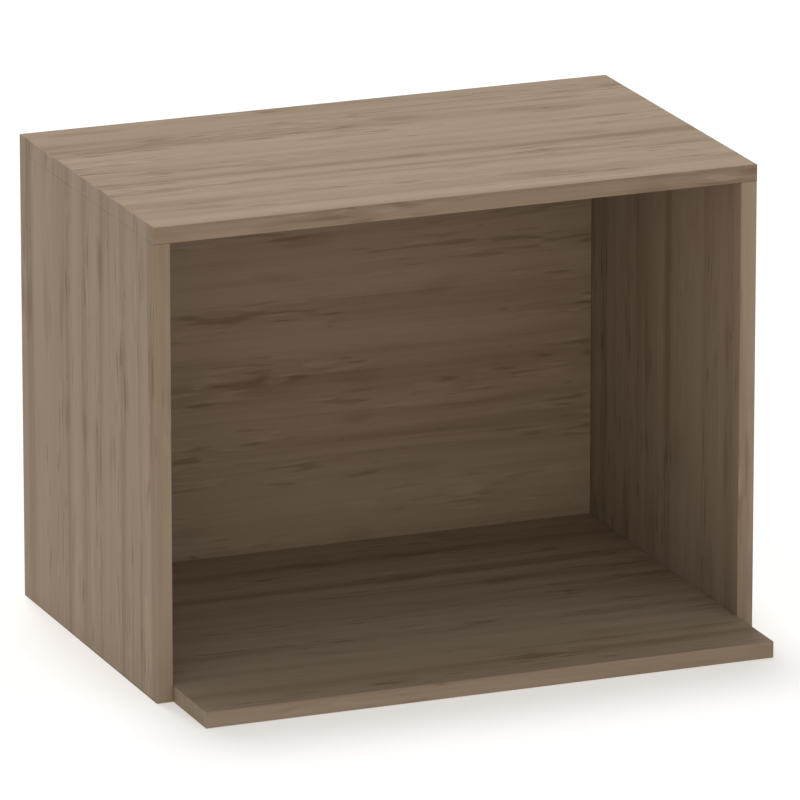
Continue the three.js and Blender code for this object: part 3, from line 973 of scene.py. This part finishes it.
@dataclass
class CamConnectors(FittingWork):
    """The cams, tightened on the heads of their bolts, with caps over the cams that would show.

    A connector's own frame has the bolt along X, with the middle of its head at the origin, and the
    cam's axis along Z.
    """

    cam_radius: float = 7.5 * MM
    cam_low: float = -5.0 * MM
    cam_face: float = 7.5 * MM
    cam_soft: float = 0.35 * MM
    groove: float = 0.8 * MM
    groove_flank: float = 0.2 * MM
    groove_depth: float = 0.25 * MM
    pocket_radius: float = 5.1 * MM
    pocket_shift: float = 1.91 * MM
    head_way: float = 3.5 * MM
    mouth_way: float = 3.4 * MM
    neck_way: float = 2.4 * MM
    recess_length: float = 7.6 * MM
    recess_width: float = 2.0 * MM
    recess_depth: float = 3.0 * MM
    well_radius: float = 1.7 * MM
    well_depth: float = 0.4 * MM
    pointer_gap: float = 0.3 * MM
    pointer_length: float = 1.4 * MM
    pointer_depth: float = 0.5 * MM
    cam_steps: int = 96
    bore_steps: int = 48
    head_radius: float = 3.2 * MM
    head_half: float = 1.5 * MM
    head_soft: float = 0.5 * MM
    head_back_soft: float = 0.3 * MM
    drive_length: float = 4.0 * MM
    drive_width: float = 0.9 * MM
    drive_depth: float = 1.9 * MM
    neck_radius: float = 2.1 * MM
    neck_fillet: float = 0.4 * MM
    neck_step: float = 0.1 * MM
    shank_start: float = 7.8 * MM
    shank_radius: float = 3.4 * MM
    shank_soft: float = 0.5 * MM
    shank_lip: float = 170
    joint: float = 23.9 * MM
    joint_soft: float = 0.25 * MM
    thread_start: float = 24.05 * MM
    thread_end: float = 33.8 * MM
    run_in: float = 0.8 * MM
    run_out: float = 2.4 * MM
    tip: float = 35.0 * MM
    tip_soft: float = 0.9 * MM
    tip_lip: float = 70
    crest_radius: float = 2.5 * MM
    root_radius: float = 1.75 * MM
    crest_power: float = 2.5
    pitch: float = 1.8 * MM
    turn_steps: int = 12
    bolt_steps: int = 36
    cap_seat: float = 8.1 * MM
    cap_face: float = 9.1 * MM
    cap_radius: float = 8.7 * MM
    cap_chamfer: float = 0.15 * MM
    cap_soft: float = 0.4 * MM
    cap_lip: float = 12
    cap_rim_steps: int = 5
    cap_dome: float = 0.12 * MM
    dome_shares: Sequence[float] = (0.8, 0.6, 0.4, 0.2, 0)
    stem_foot: float = 5.1 * MM
    stem_length: float = 7.0 * MM
    stem_width: float = 1.4 * MM
    stem_sunk: float = 0.3 * MM

    def build(self) -> list[Object]:
        """Makes each connector.

        Returns:
            Its pieces.
        """
        cam, bolt, cap = self.cam(), self.bolt(), self.cap()
        made = []
        for node in self.names("_cam"):
            name = node.removesuffix("_cam")
            frame = self.frame(name)
            made.append(self.fit(node, cam, frame, "zinc"))
            made.append(self.fit(f"{name}_bolt", bolt, frame, "steel"))
            if f"{name}_cap" in self.nodes:
                made.append(self.fit(f"{name}_cap", cap, frame, "cap_plastic"))
        return made

    def frame(self, name: str) -> Matrix:
        """Where a connector lies, from the boxes of its cam and its bolt.

        Args:
            name: the connector's name.

        Returns:
            Its frame.
        """
        cam_middle, cam_size = self.box(f"{name}_cam")
        bolt_middle, bolt_size = self.box(f"{name}_bolt")
        reach = bolt_middle - cam_middle
        run, rise = list(bolt_size).index(max(bolt_size)), list(cam_size).index(min(cam_size))
        point = cam_middle.copy()
        point[rise] = bolt_middle[rise]
        return lying(point, towards(run, reach[run]), towards(rise, -reach[rise]))

    def cross(self, length: float, width: float, low: float, high: float) -> list[Mesh]:
        """The two bars of a cross about Z."""
        bars = ((length / 2, width / 2), (width / 2, length / 2))
        return [prism("bar", [(-x, -y), (x, -y), (x, y), (-x, y)], low, high) for x, y in bars]

    def disc(self, low: float, high: float, radius: float, steps: int) -> Mesh:
        """A plain disc about Z."""
        return stood_up(turned("disc", [(low, 0), (low, radius), (high, radius), (high, 0)], steps))

    def cam(self) -> Mesh:
        """Casts the cam: a drum with a pocket, a mouth and a slot for the bolt, and a driver recess.

        Returns:
            Its mesh.
        """
        face, soft = self.cam_face, self.cam_soft
        outline = [(self.cam_low, 0), *barrel((self.cam_low, face), self.cam_radius, soft, soft)]
        rim, bed = self.cam_radius - self.groove, face - self.groove_depth
        inner = rim - self.groove
        outline += [(face, rim), (bed, rim - self.groove_flank), (bed, inner + self.groove_flank)]
        outline += [(face, inner), (face, 0)]
        drum = stood_up(turned("cam", outline, self.cam_steps))
        pocket = self.disc(-self.head_way, self.head_way, self.pocket_radius, self.cam_steps)
        pocket.transform(Matrix.Translation((-self.pocket_shift, 0, 0)))
        way, wide, neck = self.cam_radius + OVER, self.mouth_way, self.neck_way
        mouth = turned("mouth", [(-way, 0), (-way, wide), (0, wide), (0, 0)], self.bore_steps)
        keyhole = [*bend((0, 0), neck, 180, 360, self.bore_steps // 2), (neck, way), (-neck, way)]
        slot = prism("slot", keyhole, -way, way)
        slot.transform(Matrix.Rotation(math.pi / 2, 4, "Y"))
        foot, top = face - self.recess_depth, face + OVER
        recess = self.cross(self.recess_length, self.recess_width, foot, top)
        well = self.disc(foot - self.well_depth, top, self.well_radius, self.bore_steps)
        point = inner - self.pointer_gap
        back, half = point - self.pointer_length, self.pointer_length / 2
        corners = [(point, 0), (back, half), (back, -half)]
        pointer = prism("pointer", corners, face - self.pointer_depth, top)
        mesh = worked(drum, [pocket, mouth, slot, *recess, well, pointer])
        return covered(mesh, CastZinc().material("cam_zinc"))

    def bolt(self) -> Mesh:
        """Turns the bolt and rolls its thread.

        Returns:
            Its mesh.
        """
        half, fillet, neck = self.head_half, self.neck_fillet, self.neck_radius
        outline = [(-half, 0)]
        outline += barrel((-half, half), self.head_radius, self.head_soft, self.head_back_soft)
        outline += bend((half + fillet, neck + fillet), fillet, -180, -90)
        outline += [(self.shank_start - self.neck_step, neck)]
        shank = (self.shank_start, self.joint)
        outline += barrel(shank, self.shank_radius, self.shank_soft, self.joint_soft, self.shank_lip)
        step = self.pitch / self.turn_steps
        places = range(round((self.thread_end - self.thread_start) / step))
        outline += [(self.thread_start + place * step, self.root_radius) for place in places]
        end = self.tip_soft
        tip = bend((self.tip - end, self.root_radius - end), end, self.tip_lip, 0)
        outline += [*tip, (self.tip, 0)]
        body = turned("bolt", outline, self.bolt_steps, self.thread_reach)
        drive = self.cross(self.drive_length, self.drive_width, half - self.drive_depth, half + OVER)
        for bar in drive:
            bar.transform(Matrix.Rotation(-math.pi / 2, 4, "Y"))
        return covered(worked(body, drive), PlatedSteel().material("bolt_steel"))

    def thread_reach(self, x: float, radius: float, angle: float) -> float:
        """The bolt's radius with its thread.

        Args:
            x: the place along the bolt.
            radius: the outline's radius there.
            angle: the place round it.

        Returns:
            The radius.
        """
        if not self.thread_start <= x <= self.thread_end or radius > self.root_radius:
            return radius
        swell = min(1.0, (x - self.thread_start) / self.run_in, (self.thread_end - x) / self.run_out)
        wave = 0.5 + 0.5 * math.cos(math.tau * x / self.pitch - angle)
        return radius + (self.crest_radius - self.root_radius) * max(swell, 0.0) * wave**self.crest_power

    def cap(self) -> Mesh:
        """Moulds the cap: a shallow dome with a cross-shaped stem.

        Returns:
            Its mesh.
        """
        seat, chamfer, soft = self.cap_seat, self.cap_chamfer, self.cap_soft
        flat = self.cap_radius - soft
        outline = [(seat, 0), (seat, self.cap_radius - chamfer), (seat + chamfer, self.cap_radius)]
        rim = (self.cap_face - soft - self.cap_dome, flat)
        outline += bend(rim, soft, 90, self.cap_lip, self.cap_rim_steps)
        for share in self.dome_shares:
            outline.append((self.cap_face - self.cap_dome * share**2, flat * share))
        disc = stood_up(turned("cap", outline, self.cam_steps))
        stem = self.cross(self.stem_length, self.stem_width, self.stem_foot, seat + self.stem_sunk)
        return covered(worked(disc, stem, "UNION"), MouldedCap().material("cap_plastic"))


@dataclass
class Dowels(FittingWork):
    """The fluted dowels between the boards."""

    radius: float = 4.0 * MM
    length: float = 30.0 * MM
    chamfer: float = 1.2 * MM
    end_steps: int = 5
    flutes: int = 20
    flute_steps: int = 8
    flute_depth: float = 0.32 * MM

    def build(self) -> list[Object]:
        """Makes the dowels.

        Returns:
            The dowels.
        """
        mesh = self.peg()
        made = []
        for node in self.names("_dowel"):
            middle, size = self.box(node)
            along = list(size).index(max(size))
            frame = lying(middle, towards(along, 1), towards((along + 1) % 3, 1))
            made.append(self.fit(node, mesh, frame, "beech"))
        return made

    def peg(self) -> Mesh:
        """Turns and flutes a dowel.

        Returns:
            Its mesh.
        """
        half, nose = self.length / 2, self.radius - self.chamfer
        end = bend((half - self.chamfer, nose), self.chamfer, 90, 0, self.end_steps)
        straight = [(half * place / 4, self.radius) for place in range(-3, 4)]
        start = [(-x, radius) for x, radius in reversed(end)]
        outline = [(-half, 0), *start, *straight, *end, (half, 0)]
        mesh = turned("dowel", outline, self.flutes * self.flute_steps, self.flute)
        return covered(mesh, RawBeech().material("dowel_beech"))

    def flute(self, x: float, radius: float, angle: float) -> float:
        """The dowel's radius with its flutes, which run out into its rounded ends."""
        share = max(0.0, (radius - self.radius + self.chamfer) / self.chamfer)
        return radius - self.flute_depth * share * (0.5 - 0.5 * math.cos(self.flutes * angle)) ** 3


@dataclass
class BackNails(FittingWork):
    """The nails of the back panel: flat heads, grip rings under them, diamond points."""

    length: float = 20.8 * MM
    head_radius: float = 2.4 * MM
    head: float = 0.7 * MM
    head_rim: float = 0.2 * MM
    rim_steps: int = 3
    head_swell: float = 0.02 * MM
    swell_share: float = 0.6
    head_drop: float = 0.06 * MM
    fillet: float = 0.25 * MM
    shank_radius: float = 0.9 * MM
    rings: int = 5
    first_ring: float = 1.6 * MM
    ring_step: float = 0.7 * MM
    ring_width: float = 0.5 * MM
    ring_depth: float = 0.09 * MM
    point: float = 3.0 * MM
    shoulder: float = 0.5 * MM
    shoulder_share: float = 0.86
    steps: int = 24

    def build(self) -> list[Object]:
        """Makes the nails.

        Returns:
            The nails.
        """
        mesh = self.nail()
        made = []
        for node in self.names("back_nail"):
            middle, size = self.box(node)
            outside = middle + Vector((0, size.y / 2, 0))
            frame = lying(outside, towards(Way.DEEP.value, -1), towards(Way.HIGH.value, 1))
            made.append(self.fit(node, mesh, frame, "steel"))
        return made

    def nail(self) -> Mesh:
        """Forges a nail, from the face of its head at the origin to its point.

        Returns:
            Its mesh.
        """
        rim, fillet, shank = self.head_rim, self.fillet, self.shank_radius
        outline = [(0, 0), (self.head_swell, self.head_radius * self.swell_share)]
        head = (self.head_drop, self.head)
        outline += barrel(head, self.head_radius, rim, rim, steps=self.rim_steps)
        outline += bend((self.head + fillet, shank + fillet), fillet, -180, -90, self.rim_steps)
        for ring in range(self.rings):
            start = self.head + self.first_ring + self.ring_step * ring
            outline += [(start, shank), (start + self.ring_width / 2, shank - self.ring_depth)]
            outline += [(start + self.ring_width, shank)]
        corner = self.length - self.point
        shoulder = (corner + self.shoulder, shank * self.shoulder_share)
        outline += [(corner, shank), shoulder, (self.length, 0)]
        mesh = turned("nail", outline, self.steps, self.diamond)
        return covered(mesh, PlatedSteel().material("nail_steel"))

    def diamond(self, x: float, radius: float, angle: float) -> float:
        """The nail's radius, square across at its point.

        Args:
            x: the place along the nail.
            radius: the outline's radius there.
            angle: the place round it.

        Returns:
            The radius.
        """
        share = min(1.0, max(0.0, (x - self.length + self.point) / self.shoulder))
        eighth = math.pi / 4
        turn = abs((angle + eighth) % (2 * eighth) - eighth)
        square = math.cos(eighth) / math.cos(eighth - turn)
        return radius * (1 - share + share * square)


# ---- Studio ----


@dataclass
class Studio:
    """A pale glowing floor, a soft light from above and behind, and the photograph's view."""

    aim: Place = (-0.02418, -0.05215, 0.23857)
    distance: float = 9.022
    turn: float = -0.3821
    tilt: float = 0.2861
    lens: float = 435.1
    floor_size: float = 40.0
    floor_drop: float = 0.2 * MM
    floor_colour: Colour = (0.50, 0.50, 0.50)
    floor_glow: float = 0.49
    glow_colour: Colour = (1.0, 0.94, 0.88)
    dome_strength: float = 0.60
    dome_colour: Colour = (0.96, 1.0, 1.045)
    key_strength: float = 2.07
    key_from: Place = (0.02, 0.34, 0.94)
    key_softness: float = math.radians(16)
    fill_strength: float = 0.31
    fill_from: Place = (-0.28, -0.92, 0.26)
    fill_softness: float = math.radians(40)
    fill_colour: Colour = (1.0, 0.86, 0.68)

    def build(self) -> None:
        """Sets up floor, light and camera."""
        self._clear()
        self._add_floor()
        self._add_light()
        self._add_camera()
        bpy.context.scene.view_settings.view_transform = "Standard"

    def _clear(self) -> None:
        """Removes what a new file comes with."""
        for thing in list(bpy.data.objects):
            bpy.data.objects.remove(thing)

    def _add_floor(self) -> None:
        """Lays the floor, just clear of the cabinet's underside."""
        half, low = self.floor_size / 2, -self.floor_drop
        corners = [(-half, -half, low), (half, -half, low), (half, half, low), (-half, half, low)]
        mesh = bpy.data.meshes.new("floor")
        mesh.from_pydata(corners, [], [(0, 1, 2, 3)])
        recipe = Recipe("floor_finish")
        constants = {
            "Base Color": (*self.floor_colour, 1.0),
            "Roughness": 0.9,
            "Specular IOR Level": 0.0,
            "Emission Color": (*self.glow_colour, 1.0),
            "Emission Strength": self.floor_glow,
        }
        recipe.node_out(recipe.node("ShaderNodeBsdfPrincipled", {}, constants))
        mesh.materials.append(recipe.material)
        linked("floor", mesh)

    def _add_light(self) -> None:
        """Adds the dome, the key light and the fill that reaches into the cabinet."""
        world = bpy.data.worlds.new("dome")
        world.use_nodes = True
        backdrop = world.node_tree.nodes["Background"]
        backdrop.inputs["Color"].default_value = (*self.dome_colour, 1.0)
        backdrop.inputs["Strength"].default_value = self.dome_strength
        bpy.context.scene.world = world

        self._add_sun("key", self.key_strength, self.key_from, self.key_softness)
        fill = self._add_sun("fill", self.fill_strength, self.fill_from, self.fill_softness)
        fill.color = self.fill_colour

    def _add_sun(self, name: str, strength: float, start: Place, softness: float) -> bpy.types.Light:
        """Adds a distant light.

        Args:
            name: its name.
            strength: its strength.
            start: the direction that it comes from.
            softness: the angle that it fills.

        Returns:
            The light.
        """
        lamp = bpy.data.lights.new(name, "SUN")
        lamp.energy = strength
        lamp.angle = softness
        linked(name, lamp).rotation_euler = Vector(start).to_track_quat("Z", "Y").to_euler()
        return lamp

    def _add_camera(self) -> None:
        """Places the camera where the photograph was taken from."""
        right = Vector((math.cos(self.turn), math.sin(self.turn), 0))
        level = Vector((-math.sin(self.turn), math.cos(self.turn), 0))
        forward = level * math.cos(self.tilt) - Vector((0, 0, math.sin(self.tilt)))
        up = right.cross(forward)
        eye = Vector(self.aim) - forward * self.distance
        facing = Matrix((right, up, -forward)).transposed().to_4x4()

        view = bpy.data.cameras.new("camera")
        view.lens = self.lens
        view.clip_end = self.floor_size
        camera = linked("camera", view)
        camera.matrix_world = Matrix.Translation(eye) @ facing
        bpy.context.scene.camera = camera


def main() -> None:
    """Builds the studio and each sub-assembly in order."""
    logging.basicConfig(level=logging.INFO, format="%(name)s: %(message)s")
    studio = Studio()
    studio.build()
    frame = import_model()
    nodes = frame["nodes"]
    assemblies = [
        TopPanel(nodes),
        *(SidePanel(nodes, prefix=f"{hand.value}_") for hand in Hand),
        BaseShelf(nodes),
        HangingRail(nodes),
        BackPanel(nodes),
        CamConnectors(nodes),
        Dowels(nodes),
        BackNails(nodes),
    ]
    for assembly in assemblies:
        for piece in assembly.build():
            LOG.info("%s: %s", type(assembly).__name__, piece.name)


if __name__ == "__main__":
    main()
